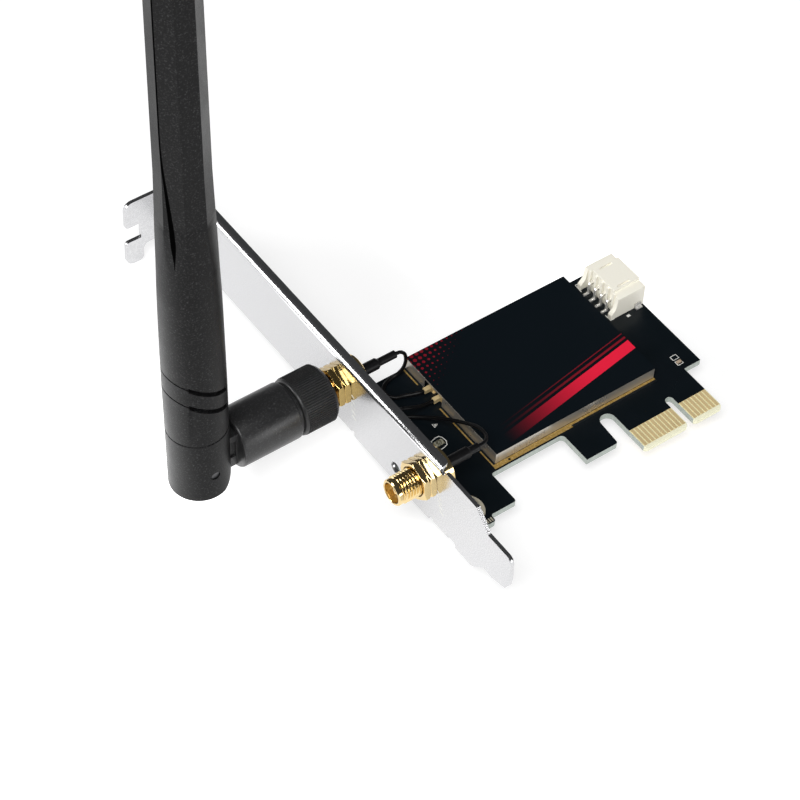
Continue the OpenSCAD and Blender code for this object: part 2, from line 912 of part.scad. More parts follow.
// Ribbed collar that is moulded over the brass coupling nut
module coupling_collar() {
    front_len = 1.2;
    front_cut = 0.45;
    rear_len = 0.7;
    lip = 0.5;
    core_r = collar_r - 0.2;
    color(plastic_black)
        at_upper_jack()
            difference() {
                union() {
                    translate([-collar_end + rear_len, 0, 0])
                        rotate([0, 90, 0])
                            linear_extrude(collar_end - collar_start - rear_len - front_len)
                                rib_outline();
                    turned_out()
                        polygon(concat(
                            [[0, collar_start], [core_r - front_cut, collar_start]],
                            [[core_r, collar_start + front_len]],
                            arc([core_r - lip, collar_end - lip], lip, 0, 90, 4),
                            [[0, collar_end]]
                        ));
                }
                rod_out(collar_start - 1, collar_end + 1, nut_shell_r);
            }
}

// Brass nut in the collar, with the shoulder that holds the antenna's plug
module coupling_nut() {
    throat_r = plug_stem_r + air_gap;
    color(brass)
        at_upper_jack()
            difference() {
                rod_out(collar_start + 0.1, collar_end - 0.2, nut_shell_r);
                rod_out(collar_start - 1, plug_flange + air_gap, thread_d / 2 + run_gap);
                rod_out(plug_flange, collar_end + 1, throat_r);
            }
}

// Brass plug of the antenna: flange held by the coupling nut, and a stem in the barrel
module antenna_plug() {
    flange_r = 3.0;
    color(brass)
        at_upper_jack()
            difference() {
                turned_out()
                    polygon([
                        [0, jack_reach + air_gap], [flange_r, jack_reach + air_gap], [flange_r, plug_flange],
                        [plug_stem_r, plug_flange], [plug_stem_r, plug_end], [0, plug_end]
                    ]);
                rod_out(jack_reach - 1, plug_end + 1, plug_pin_r);
            }
}

module plug_contact() {
    color(gold)
        at_upper_jack()
            rod_out(5.0, plug_end, plug_pin_r, 32);
}

// Swivel barrel with the tongue of the hinge
module swivel_barrel() {
    neck_start = collar_end + air_gap;
    neck_r = barrel_r - 0.7;
    edge_r = 0.5;
    panel_depth = 0.5;
    color(plastic_black)
        at_upper_jack()
            difference() {
                union() {
                    turned_out()
                        polygon(concat(
                            [[0, neck_start], [neck_r, neck_start], [neck_r, barrel_start]],
                            arc([barrel_r - edge_r, barrel_start + edge_r], edge_r, 270, 360, 4),
                            arc([barrel_r - edge_r, barrel_end - edge_r], edge_r, 0, 90, 4),
                            [[0, barrel_end]]
                        ));
                    hinge_tongue();
                }
                rod_out(0, plug_end, plug_stem_r);
                translate([pin_x, 0, 0])
                    rotate([90, 0, 0])
                        cylinder(h = 20, r = pin_r + run_gap, center = true);
                translate([-barrel_end - 2.0, -tongue_w / 2 - 1, -1.8])
                    cube([1.7, 1 + panel_depth, 4.6]);
            }
}

// Flat tongue with a round end about the hinge pin
module hinge_tongue() {
    translate([pin_x, 0, 0])
        across_y(tongue_w)
            polygon(concat(
                arc([0, 0], tongue_r, 90, 270, 20),
                [[-pin_x - barrel_end + 1, -tongue_r], [-pin_x - barrel_end + 1, tongue_r]]
            ));
}

// Places a piece that is drawn about the hinge pin, with its length along +Z
module on_hinge() {
    translate([pin_x, upper_jack_y, jack_z])
        rotate([0, -lean, 0])
            children();
}

module hinge_pin() {
    color(steel)
        on_hinge()
            rotate([90, 0, 0])
                cylinder(h = 2 * (sleeve_r - 0.35), r = pin_r, center = true, $fn = 32);
}

// Side view of the fork in X and Z: flat foot, rounded about the pin on the side of the barrel
module yoke_side() {
    far = sleeve_r + 1;
    round_x = sleeve_r + 0.3;
    round_z = yoke_foot + 0.05;
    polygon(concat(
        [[far, seam_h + 1], [-far, seam_h + 1], [-far, -far - 1], [0, -far - 1]],
        [for (a = [0:6:90]) [round_x * sin(a), -round_z * cos(a)]]
    ));
}

// Fork of the hinge: round sleeve, slotted for the tongue
module hinge_yoke() {
    slot_r = tongue_r + 0.3;
    far = sleeve_r + 1;
    edge = 0.4;
    color(plastic_black)
        on_hinge()
            difference() {
                intersection() {
                    rotate_extrude($fn = 72)
                        polygon([
                            [0, -yoke_foot], [sleeve_r - edge, -yoke_foot], [sleeve_r, edge - yoke_foot],
                            [sleeve_r, seam_h - seam_groove], [sleeve_r - seam_groove, seam_h], [0, seam_h]
                        ]);
                    across_y(3 * sleeve_r)
                        yoke_side();
                }
                across_y(slot_w)
                    polygon(concat(
                        arc([0, 0], slot_r, 90, 180, 10),
                        [[-slot_r, -yoke_foot - 1], [far, -yoke_foot - 1]],
                        [[far, slot_r + 0.6], [0, slot_r + 0.6]]
                    ));
                rotate([90, 0, 0])
                    cylinder(h = 20, r = pin_r, center = true, $fn = 32);
            }
}

// Radius of the antenna at the height h above the pin
blade_profile = [
    [sleeve_r, seam_h + seam_groove], [sleeve_r, 23], [6.22, 32], [6.1, 43], [5.98, 50],
    [5.78, 57], [5.5, 70], [5.26, 80], [5.04, 118], [tip_r, antenna_len - 1.8]
];
// Distance of the antenna's flats from its axis, with the height above the pin
flat_profile = [[5.95, 54], [5.45, 62], [5.05, 70], [4.83, 80], [4.62, 118], [4.25, antenna_len + 0.1]];

// Slice of a round shell about the antenna's axis, t high and sloping down towards the bracket
module sloped_ring(h, t, depth) {
    intersection() {
        translate([0, 0, h])
            rotate([0, groove_slope, 0])
                cube([40, 40, t], center = true);
        difference() {
            cylinder(h = h + 10, r = sleeve_r + 1);
            cylinder(h = h + 10, r = sleeve_r - depth);
        }
    }
}

// Shallow sloping groove round the antenna, wider and deeper over the middle of each broad side
module blade_groove(h) {
    reach = 10;
    spread = 42;
    sloped_ring(h, 0.3, 0.3);
    intersection() {
        sloped_ring(h, 1.1, 0.9);
        linear_extrude(h + reach)
            for (side = [-1, 1])
                polygon([
                    [0, 0], [-reach * tan(spread), side * reach], [reach * tan(spread), side * reach]
                ]);
    }
}

// Long flats that turn the round upper part into an octagon towards the tip
module blade_flats() {
    for (i = [0:flat_count - 1])
        rotate(flat_turn + 360 / flat_count * i)
            across_y(20)
                polygon(concat(flat_profile, [[10, antenna_len + 0.1], [10, flat_profile[0][1]]]));
}

module antenna_blade() {
    tip_round = 1.8;
    color(plastic_black)
        on_hinge()
            difference() {
                rotate_extrude($fn = 72)
                    polygon(concat(
                        [[0, seam_h], [sleeve_r - seam_groove, seam_h]],
                        blade_profile,
                        arc([tip_r - tip_round, antenna_len - tip_round], tip_round, 10, 90, 5),
                        [[0, antenna_len]]
                    ));
                blade_flats();
                for (h = groove_h)
                    blade_groove(h);
                rotate_extrude($fn = 48)
                    polygon([
                        [0, bore_foot], [sleeve_r - 1.6, bore_foot], [sleeve_r - 1.6, 32],
                        [3.9, 68], [3.5, 80], [2.8, antenna_len - 4], [0, antenna_len - 4]
                    ]);
            }
}

// Brass tube and whip of the antenna element
module radiator() {
    color(brass)
        on_hinge()
            rotate_extrude($fn = 32)
                polygon([
                    [0, bore_foot], [2.2, bore_foot], [2.2, 60], [0.5, 60], [0.5, 130], [0, 130]
                ]);
}

bracket();
circuit_board();
edge_contacts();
mounting_pads();
ground_rim();
bracket_screws();
status_led();
edge_capacitor();
shield_can();
module_label();
radio_chip();
clock_crystal();
upper_receptacle();
lower_receptacle();
upper_plug();
lower_plug();
upper_lead();
lower_lead();
upper_sleeve();
lower_sleeve();
header_housing();
header_pins();
header_tabs();
lower_jack_body();
lower_jack_insulator();
lower_jack_contact();
lower_locknut();
lower_front_nut();
upper_jack_body();
upper_jack_insulator();
upper_jack_contact();
upper_locknut();
upper_front_nut();
coupling_collar();
coupling_nut();
antenna_plug();
plug_contact();
swivel_barrel();
hinge_pin();
hinge_yoke();
antenna_blade();
radiator();
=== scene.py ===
# %% [markdown]
# # Wireless adapter card with its hinged antenna
#
# This lesson dresses a measured model of an expansion card. The model comes from a construction program, so
# its parts already have true sizes and places, and Blender adds the looks: printed board, gold, steel, plastic,
# two thin leads and a soft studio round it all. Each step says what the piece is on the real object first, and
# then why it is made the way it is.

# %% Load the measured model
import json
import math

import bmesh
import bpy
from mathutils import Matrix, Vector


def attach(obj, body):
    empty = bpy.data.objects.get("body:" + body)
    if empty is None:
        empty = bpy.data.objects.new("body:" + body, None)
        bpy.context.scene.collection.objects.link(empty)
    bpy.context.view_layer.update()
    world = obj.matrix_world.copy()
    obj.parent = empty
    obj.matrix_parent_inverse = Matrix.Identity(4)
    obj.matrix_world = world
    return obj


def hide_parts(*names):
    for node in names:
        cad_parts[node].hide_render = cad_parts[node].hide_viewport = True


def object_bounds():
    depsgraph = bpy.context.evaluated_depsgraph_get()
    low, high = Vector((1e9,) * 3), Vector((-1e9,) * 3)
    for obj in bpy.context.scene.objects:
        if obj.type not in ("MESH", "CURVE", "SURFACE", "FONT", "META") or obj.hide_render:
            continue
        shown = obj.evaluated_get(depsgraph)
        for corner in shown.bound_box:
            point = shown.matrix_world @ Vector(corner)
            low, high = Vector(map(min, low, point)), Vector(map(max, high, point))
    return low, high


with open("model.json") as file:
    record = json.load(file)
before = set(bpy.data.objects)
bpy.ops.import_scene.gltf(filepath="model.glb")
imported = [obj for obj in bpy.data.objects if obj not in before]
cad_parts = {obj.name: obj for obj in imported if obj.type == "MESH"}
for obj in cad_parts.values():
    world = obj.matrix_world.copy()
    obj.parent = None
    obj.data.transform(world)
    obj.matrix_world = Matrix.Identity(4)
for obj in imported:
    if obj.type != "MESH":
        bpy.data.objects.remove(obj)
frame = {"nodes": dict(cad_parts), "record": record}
cad_low, cad_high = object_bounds()
MM = 0.001
print("nodes:", len(frame["nodes"]), "box in mm:", [round(v / MM, 1) for v in cad_high - cad_low])

# %% [markdown]
# ## The camera
#
# The picture was taken from above, at about fifty degrees over the board, with a long lens that hardly narrows
# things with distance. A camera is its place, the way it looks, the way that its top points, and its focal
# length. Giving the last two directions as vectors leaves no doubt about roll, which angles often do.

# %% Camera
CAMERA_PLACE = Vector((-0.215456, -0.251211, 0.427089))
CAMERA_LOOK = Vector((0.40522524, 0.50460441, -0.76234302))
CAMERA_UP = Vector((0.42541574, 0.63401384, 0.64579246))
FOCAL_MM, SENSOR_MM = 122.96, 36
SHIFT = (-0.0011, 0.0072)
CLIP = (0.05, 10)


def add_object(name, data):
    """Makes an object from a mesh, a lamp or a camera, and puts it in the scene."""
    thing = bpy.data.objects.new(name, data)
    bpy.context.scene.collection.objects.link(thing)
    return thing


camera_data = bpy.data.cameras.new("camera")
camera_data.lens = FOCAL_MM
camera_data.sensor_width = SENSOR_MM
camera_data.sensor_fit = "HORIZONTAL"
camera_data.clip_start, camera_data.clip_end = CLIP
camera_data.shift_x, camera_data.shift_y = SHIFT
camera = add_object("camera", camera_data)
right = CAMERA_LOOK.cross(CAMERA_UP).normalized()
turn = Matrix((right, right.cross(CAMERA_LOOK), -CAMERA_LOOK)).transposed()
camera.matrix_world = Matrix.Translation(CAMERA_PLACE) @ turn.to_4x4()
bpy.context.scene.camera = camera
print("camera is", round(CAMERA_PLACE.length, 3), "m from the corner of the card")

# %% [markdown]
# ## The two leads
#
# Each antenna jack feeds the radio through a coaxial lead of less than a millimetre. It is limp, it leaves the
# shrunk sleeve of the jack straight, bends down to the board and lies on it, and ends in a plug on the radio.
# A curve with a round bevel is the natural way to make one: the points are the route, and the handles of a
# point are set along the line between its neighbours, which gives one smooth curve through all of them.

# %% Leads
LEAD_DIAMETER = 0.0008
UPPER_LENGTH, LOWER_LENGTH = 0.032, 0.049
UPPER_ROUTE = [
    (7.0, 37.07, 9.5), (9.0, 37.07, 9.5), (11.0, 37.07, 9.5), (13.7, 37.07, 9.5), (15.2, 37.15, 9.0),
    (16.3, 37.25, 7.6), (16.75, 37.35, 5.7), (16.7, 37.5, 3.9), (16.2, 37.8, 2.2), (15.0, 38.1, 0.95),
    (13.4, 38.15, 0.55), (11.8, 37.6, 0.5), (10.7, 36.4, 0.5), (10.6, 34.8, 0.5), (11.7, 33.5, 0.5),
    (13.5, 32.8, 0.6), (15.2, 31.9, 0.9), (16.3, 31.4, 1.1), (17.15, 31.3, 1.1),
]
LOWER_ROUTE = [
    (7.0, 8.1, 9.5), (9.0, 8.1, 9.5), (11.0, 8.1, 9.5), (13.0, 8.1, 9.5), (15.1, 8.5, 9.2),
    (16.6, 10.1, 8.5), (17.2, 12.3, 7.7), (17.3, 14.3, 6.8), (17.0, 16.5, 5.6), (16.0, 20.0, 3.8),
    (14.9, 22.8, 2.4), (13.1, 25.5, 1.2), (10.9, 27.7, 0.6), (9.2, 28.6, 0.6), (7.8, 29.0, 1.2),
    (7.1, 28.9, 2.45), (7.65, 28.5, 3.65), (8.95, 28.0, 4.15), (10.8, 27.6, 3.6), (12.9, 27.7, 2.5),
    (14.8, 27.95, 1.55), (16.1, 28.1, 1.15), (17.15, 28.1, 1.1),
]


def smooth_faces(mesh):
    """Lets light run smoothly over a mesh, whatever its faces."""
    mesh.polygons.foreach_set("use_smooth", [True] * len(mesh.polygons))


def make_lead(name, route):
    """A round lead along the points of its route, which are in millimetres."""
    points = [Vector(p) * MM for p in route]
    curve = bpy.data.curves.new(name, "CURVE")
    curve.dimensions = "3D"
    curve.bevel_depth = LEAD_DIAMETER / 2
    curve.bevel_resolution = 4
    curve.resolution_u = 6
    curve.use_fill_caps = True
    spline = curve.splines.new("BEZIER")
    spline.bezier_points.add(len(points) - 1)
    for i, point in enumerate(points):
        before, after = points[max(i - 1, 0)], points[min(i + 1, len(points) - 1)]
        pull = (after - before) / 6  # a third of the mean step, which leaves the curve even
        knot = spline.bezier_points[i]
        knot.co, knot.handle_left, knot.handle_right = point, point - pull, point + pull
    print(name, "is", round(spline.calc_length() / MM, 1), "mm long")
    tube = bpy.data.objects.new(name + "_curve", curve)
    mesh = bpy.data.meshes.new_from_object(tube)
    smooth_faces(mesh)
    bpy.data.objects.remove(tube)
    return add_object(name, mesh)


LEADS = []
for side, route, length in (("upper", UPPER_ROUTE, UPPER_LENGTH), ("lower", LOWER_ROUTE, LOWER_LENGTH)):
    lead = make_lead(side + "_coax", route)
    node = side + "_lead"
    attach(lead, "card")
    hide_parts(node)
    LEADS.append(lead)

# %% [markdown]
# ## A shorthand for node trees
#
# A material is a small calculation that runs for each point of the surface, and a shape made by nodes is one
# that runs once. Written node by node either takes a page, so one class wraps a socket and lets Python's own
# signs add the Math nodes: `1 - mask` or `x * 3` read like sums. A second class holds the tree itself, and its
# `node` method makes any other node from its type, its settings and the values of its sockets.

# %% Sums on sockets
class Wire:
    """A socket in a node tree, which can be added, multiplied and compared."""

    def __init__(self, graph, socket):
        self.graph, self.socket = graph, socket

    def sum(self, operation, first, second):
        """One Math node, for all the signs below."""
        return self.graph.node("ShaderNodeMath", {"operation": operation}, {0: first, 1: second})

    def __add__(self, other):
        return self.sum("ADD", self, other)

    def __radd__(self, other):
        return self.sum("ADD", other, self)

    def __sub__(self, other):
        return self.sum("SUBTRACT", self, other)

    def __rsub__(self, other):
        return self.sum("SUBTRACT", other, self)

    def __mul__(self, other):
        return self.sum("MULTIPLY", self, other)

    def __rmul__(self, other):
        return self.sum("MULTIPLY", other, self)

    def __truediv__(self, other):
        return self.sum("DIVIDE", self, other)

    def __rtruediv__(self, other):
        return self.sum("DIVIDE", other, self)

    def __gt__(self, other):
        return self.sum("GREATER_THAN", self, other)

    def __lt__(self, other):
        return self.sum("LESS_THAN", self, other)

    def __abs__(self):
        return self.sum("ABSOLUTE", self, 0)

    def between(self, low, high):
        """1 from low to high, 0 elsewhere."""
        return (self > low) * (self < high)

    def larger(self, other):
        """The larger of two values."""
        return self.sum("MAXIMUM", self, other)


class Graph:
    """A node tree that is filled by calls."""

    def __init__(self, tree):
        self.tree = tree

    def node(self, kind, settings, sockets, output=0):
        """Adds a node, sets its settings first, then fills its sockets, and returns one output."""
        made = self.tree.nodes.new(kind)
        for key, value in settings.items():
            setattr(made, key, value)
        for key, value in sockets.items():
            socket = made.inputs[key]
            if isinstance(value, Wire):
                self.tree.links.new(value.socket, socket)
            else:
                socket.default_value = value
        return Wire(self, made.outputs[output])


print("shorthand for node trees ready")

# %% [markdown]
# ## A material as a class
#
# Every finish below is the same kind of thing: one shader, a base colour, and a few patterns that wander over
# the surface. The place on the object is read in millimetres, which is how the board was measured, so a grain
# of a third of a millimetre is asked for as 0.3.

# %% Material class
class Finish(Graph):
    """One material, with its shader and the place on the object in millimetres."""

    def __init__(self, name, colour, roughness, metallic=0.0, shine=0.5):
        self.material = bpy.data.materials.new(name)
        self.material.use_nodes = True
        super().__init__(self.material.node_tree)
        self.shader = self.tree.nodes["Principled BSDF"]
        constants = {"Base Color": (*colour, 1), "Roughness": roughness, "Metallic": metallic,
                     "Specular IOR Level": shine}
        for socket, value in constants.items():
            self.shader.inputs[socket].default_value = value
        self.material.diffuse_color = (*colour, 1)
        place = self.node("ShaderNodeTexCoord", {}, {}, "Object")
        self.mm = self.node("ShaderNodeVectorMath", {"operation": "SCALE"}, {"Vector": place, "Scale": 1 / MM})

    def axes(self):
        """The three parts of the place, in millimetres."""
        return [self.node("ShaderNodeSeparateXYZ", {}, {0: self.mm}, i) for i in range(3)]

    def noise(self, size, detail=2.0, roughness=0.5, stretch=(1, 1, 1)):
        """Cloudy noise between 0 and 1 whose blobs are about size millimetres across."""
        scaled = self.node("ShaderNodeVectorMath", {"operation": "MULTIPLY"}, {0: self.mm, 1: stretch})
        return self.node("ShaderNodeTexNoise", {},
                         {"Vector": scaled, "Scale": 1 / size, "Detail": detail, "Roughness": roughness})

    def smooth(self, value, low, high, start=0.0, end=1.0):
        """Maps low..high onto start..end, held at both ends."""
        return self.node("ShaderNodeMapRange", {"interpolation_type": "SMOOTHSTEP"},
                         {"Value": value, "From Min": low, "From Max": high, "To Min": start, "To Max": end})

    def mix(self, factor, first, second):
        """A colour between two others."""
        first, second = [(*c, 1) if isinstance(c, tuple) and len(c) == 3 else c for c in (first, second)]
        return self.node("ShaderNodeMix", {"data_type": "RGBA"}, {0: factor, 6: first, 7: second}, 2)

    def set(self, socket, value):
        """Lets a pattern drive one of the shader's sockets."""
        self.tree.links.new(value.socket, self.shader.inputs[socket])

    def paint(self, colour):
        """Lets a pattern drive the colour."""
        self.set("Base Color", colour)

    def bump(self, height, depth_mm):
        """Raises the surface by depth_mm where height is 1."""
        self.set("Normal", self.node("ShaderNodeBump", {}, {"Distance": depth_mm * MM, "Height": height}))

    def overlay(self, mask, other):
        """Shows a second shader, which was made in this tree, where the mask is 1."""
        output = self.tree.nodes["Material Output"]
        both = self.node("ShaderNodeMixShader", {}, {0: mask, 1: Wire(self, self.shader.outputs[0]), 2: other})
        self.tree.links.new(both.socket, output.inputs["Surface"])


print("material class ready")

# %% [markdown]
# ## Metals
#
# Bright nickel, tin, gold and brass differ less in their pattern than in colour and gloss. Real plating is
# never perfectly even: it has a faint grain from the sheet underneath, small smudges where it was handled, and
# softer gloss where it is worn. So each metal has its own colour and a roughness that wanders a little.

# %% Metal finishes
CLOUD_MM = 6.0


def metal(name, colour, roughness, grain_mm, grain_depth, stretch=(1, 1, 1), stain=0.06, metallic=1.0):
    """A plated metal with a fine grain and slowly wandering gloss."""
    finish = Finish(name, colour, roughness, metallic)
    cloud = finish.noise(CLOUD_MM, 3)
    grain = finish.noise(grain_mm, 2, 0.6, stretch)
    finish.set("Roughness", finish.smooth(cloud + grain * 0.4, 0.35, 1.05, roughness * 0.8, roughness * 1.3))
    dark = tuple(c * (1 - stain) for c in colour)
    finish.paint(finish.mix(finish.smooth(cloud, 0.35, 0.7), dark, colour))
    finish.bump(grain, grain_depth)
    return finish


FINISHES = {
    "can_steel": metal("can_steel", (0.66, 0.62, 0.55), 0.3, 0.5, 0.001, (1, 1, 0.3), 0.04, metallic=0.75),
    "screw_steel": metal("screw_nickel", (0.85, 0.80, 0.68), 0.3, 0.25, 0.003, metallic=0.75),
    "pad_tin": metal("pad_tin", (0.80, 0.74, 0.58), 0.35, 0.4, 0.004, metallic=0.4),
    "pin_tin": metal("pin_tin", (0.86, 0.85, 0.82), 0.24, 0.2, 0.002, metallic=0.7),
    "contact_gold": metal("contact_gold", (0.84, 0.65, 0.34), 0.38, 0.3, 0.002, metallic=0.3),
    "jack_gold": metal("jack_gold", (0.87, 0.67, 0.34), 0.12, 0.2, 0.0015),
    "plug_brass": metal("plug_brass", (0.62, 0.43, 0.18), 0.3, 0.25, 0.003),
    # Painted shade: nut_brass is the gold darkened for the upper nuts, standing for the black collar that they
    # mirror.
    "nut_brass": metal("nut_brass", (0.60, 0.43, 0.16), 0.15, 0.2, 0.002),
    "pin_black": metal("pin_black", (0.12, 0.12, 0.125), 0.4, 0.2, 0.003),
}
print("metals:", ", ".join(FINISHES))

# %% [markdown]
# ## The gold strip and the bracket
#
# The strip of board round the can is plated with gold, but black solder mask laps over the outer half of its
# far end and over its inner edge. Both belong to one piece, so the finish reads the place on the board and
# chooses. The bracket is rolled sheet under thin nickel. It has one even finish with fine specks, and whatever
# else shows on it is the room that it mirrors.

# %% Strip and bracket finishes
MASK_BLACK = (0.0028, 0.0052, 0.0072)
STRIP_STEP, STRIP_INNER = (37.5, 7.8), (17.9, 8.35)
STRIP_METALLIC = 0.5


def strip_finish():
    """Plated strip round the can. Solder mask covers the outer half of its far end and its inner edge."""
    finish = Finish("rim_gold", (0.50, 0.32, 0.09), 0.38, STRIP_METALLIC)
    x, y, _ = finish.axes()
    far_end = (x > STRIP_STEP[0]) * (y < STRIP_STEP[1])
    covered = far_end + (x > STRIP_INNER[0]) * (y > STRIP_INNER[1])
    grain = finish.noise(0.4, 3)
    gold = finish.mix(finish.smooth(grain, 0.4, 0.7), (0.46, 0.29, 0.07), (0.66, 0.46, 0.18))
    finish.paint(finish.mix(covered, gold, MASK_BLACK))
    finish.set("Metallic", (1 - covered) * STRIP_METALLIC)
    finish.bump(grain, 0.003)
    return finish


def bracket_finish():
    """Nickel plate with a fine speckled grain, as rolled sheet has under thin plating."""
    finish = Finish("bracket_plate", (0.68, 0.68, 0.69), 0.24, 1.0)
    grain = finish.noise(0.22, 3)
    spots = finish.smooth(finish.noise(0.3, 2), 0.45, 0.62)
    finish.paint(finish.mix(spots, (0.64, 0.64, 0.65), (0.71, 0.71, 0.72)))
    finish.set("Roughness", grain * 0.12 + 0.14)
    finish.bump(grain, 0.02)
    return finish


FINISHES["rim_gold"] = strip_finish()
FINISHES["bracket_steel"] = bracket_finish()
print("with the strip and the bracket there are", len(FINISHES), "metals")

# %% [markdown]
# ## Plastics
#
# Antenna covers are moulded from a matt black plastic whose tool was spark-eroded, which leaves a fine, sandy
# skin. The header is a cream nylon, the jack's insulator is a waxy white, and the leads and sleeves are black
# polymers with different sheen. White print is a thin coat of ink, so it is made in the same way. The grain is
# a bump from fine noise, at the real size of a few tenths of a millimetre.

# %% Plastic finishes
PATCH_MM = 9.0


def plastic(name, colour, roughness, grain_mm, grain_depth, speckle=0.0, shine=0.5):
    """A moulded plastic with a fine skin, and speckle where the skin catches light."""
    finish = Finish(name, colour, roughness, 0.0, shine)
    grain = finish.noise(grain_mm, 3, 0.65)
    cloud = finish.noise(PATCH_MM, 2)
    smoother, rougher = roughness * 0.85, min(1, roughness * 1.2)
    finish.set("Roughness", finish.smooth(grain + cloud * 0.5, 0.5, 1.1, smoother, rougher))
    bright = tuple(min(1, c * (1 + speckle) + speckle * 0.01) for c in colour)
    finish.paint(finish.mix(finish.smooth(grain, 0.5, 0.75), colour, bright))
    finish.bump(grain, grain_depth)
    return finish


FINISHES |= {
    "collar_plastic": plastic("collar_skin", (0.017, 0.017, 0.0175), 0.38, 0.32, 0.02, 1.4, 0.42),
    "barrel_skin": plastic("barrel_skin", (0.016, 0.016, 0.0165), 0.36, 0.34, 0.03, 1.6, 0.5),
    "header_cream": plastic("header_nylon", (0.94, 0.91, 0.80), 0.45, 0.5, 0.004, 0.02),
    "insulator_white": plastic("insulator", (0.88, 0.86, 0.80), 0.4, 0.4, 0.002),
    "chip_black": plastic("chip_resin", (0.01, 0.01, 0.011), 0.55, 0.15, 0.006, 0.3),
    "lead_jacket": plastic("lead_jacket", (0.003, 0.003, 0.0035), 0.4, 0.2, 0.003, 0.1, 0.2),
    "sleeve_black": plastic("shrunk_sleeve", (0.004, 0.004, 0.0045), 0.42, 0.6, 0.01, 0.1, 0.2),
    "ceramic": plastic("ceramic", (0.42, 0.33, 0.24), 0.5, 0.2, 0.003, 0.1),
    "ink_white": plastic("printed_ink", (0.78, 0.78, 0.74), 0.6, 0.2, 0.002),
}
print("finishes so far:", len(FINISHES))

# %% [markdown]
# ## The skin of the antenna
#
# The antenna is one moulding whose round foot turns into eight long flats. Where two flats meet, on the side
# towards the viewer's left, a line of painted shade runs along the edge and widens into a drop where the flat
# runs out. The line follows the flat, so it is found by its angle round the antenna and by the height above the
# hinge. A second, nearly black shader without gloss shows inside it, through a Mix Shader: the line is painted
# shade, not a groove in the shape.

# %% Antenna skin
HINGE = (-34.1, 37.07, 9.5)
LEAN = math.tan(math.radians(1.4))
# Heights are in millimetres above the hinge, and widths are angles round the antenna in radians.
# The painted shade line: the height where it starts, how its angle turns with height, and the drop it widens
# into.
SHADE_LINE_FROM = 59.6
SHADE_LINE_RUN, SHADE_LINE_TURNS = (60, 92), (math.radians(34.3), math.radians(13.5))
DROP_WIDENS, DROP_NARROWS = (59.5, 66), (67, 84)
DROP_WIDTH, NARROW_SHARE = 0.085, 0.35
SOFT_EDGE = 0.025


def antenna_finish():
    """The sandy skin of the antenna, with a line of painted shade where two of its flats meet."""
    finish = plastic("antenna_skin", (0.0045, 0.0045, 0.0048), 0.42, 0.36, 0.03, 2.4, 0.12)
    x, y, z = finish.axes()
    height = z - HINGE[2]
    across, along = x - HINGE[0] + height * LEAN, y - HINGE[1]
    angle = finish.node("ShaderNodeMath", {"operation": "ARCTAN2"}, {0: along * -1, 1: across * -1})
    shade_line_at = finish.smooth(height, *SHADE_LINE_RUN, *SHADE_LINE_TURNS)
    drop = finish.smooth(height, *DROP_WIDENS) * finish.smooth(height, *DROP_NARROWS, 1.0, NARROW_SHARE)
    beside = abs(angle - shade_line_at) - drop * DROP_WIDTH
    # Painted shade: a nearly black shader without gloss, in a line where two flats meet that widens into a
    # drop.
    mask = finish.smooth(beside, 0.0, SOFT_EDGE, 1.0, 0.0) * (height > SHADE_LINE_FROM)
    painted_shade = finish.node("ShaderNodeBsdfDiffuse", {}, {"Color": (0.0012, 0.0012, 0.0012, 1), "Roughness": 1.0})
    finish.overlay(mask, painted_shade)
    return finish


FINISHES["antenna_plastic"] = antenna_finish()
print("antenna skin has", len(FINISHES["antenna_plastic"].tree.nodes), "nodes")

# %% [markdown]
# ## The printed board
#
# The card is a glass-resin laminate under a nearly black mask. The mask stops at the fingers, where the bare
# resin between the gold pads is a pale yellow, and the cut edges show the grey-green of the glass. Everything
# is decided by the place on the board: above or below the mask line, on a face or on an edge.

# %% Board finish
BOARD_THICK, FACE_SKIN = 1.57, 0.02
FINGERS_FROM, BEVEL_FROM = 45.0, -4.87


def board_finish():
    """The laminate: black mask on its faces, bare resin at the fingers, and glass on its cut edges."""
    finish = Finish("board_laminate", MASK_BLACK, 0.3, 0.0, 0.25)
    x, y, z = finish.axes()
    weave = finish.noise(0.5, 2, 0.5, (1, 1, 0.2))
    cloud = finish.noise(12, 2)
    edge = z.between(FACE_SKIN - BOARD_THICK, -FACE_SKIN)
    bare = (y < 0) * (x > FINGERS_FROM)
    bevel = bare * (y < BEVEL_FROM)
    mask = finish.mix(finish.smooth(cloud, 0.4, 0.7), MASK_BLACK, (0.0042, 0.0068, 0.0095))
    resin = finish.mix(weave, (0.74, 0.68, 0.38), (0.84, 0.79, 0.50))
    tips = finish.mix(weave, (0.84, 0.82, 0.58), (0.90, 0.89, 0.70))
    glass = finish.mix(weave, (0.34, 0.38, 0.35), (0.50, 0.54, 0.50))
    colour = finish.mix(bare, mask, resin)
    colour = finish.mix(bevel, colour, tips)
    colour = finish.mix(edge * (1 - bevel), colour, glass)
    finish.paint(colour)
    finish.set("Roughness", finish.smooth(bare.larger(edge), 0, 1, 0.3, 0.6))
    finish.bump(weave, 0.004)
    return finish


FINISHES["board_laminate"] = board_finish()
print("board finish has", len(FINISHES["board_laminate"].tree.nodes), "nodes")

# %% [markdown]
# ## The label on the radio
#
# A printed film covers the shield can. Its ground is a blue-black, and its print is red. The print here is a
# plain geometric one: a slanted band with two thin stripes beside it, and a corner of small dots that fade out.
# Bands are distances from a sloping line, and dots come from the distance to the middle of each square of a
# grid.

# %% Label finish
# Widths, places and heights are in millimetres on the board.
LABEL_GROUND, LABEL_SIDE = (0.0030, 0.0056, 0.0082), (0.004, 0.005, 0.007)
RED, DEEP_RED = (0.80, 0.016, 0.050), (0.22, 0.008, 0.018)
SLANT, SLANT_FROM = 0.16, 20.0
BAND, STRIPES, PRINT_FADE = (8.6, 11.2), ((11.9, 12.4), (13.2, 13.4)), (22, 52)
DOT_PITCH, DOT_RADIUS, DOT_FADE = 1.3, 0.46, (19, 36)
DOT_CORNER, DOT_SLANT = 39.0, 1.4
FILM_SIDE = (3.04, 3.14)


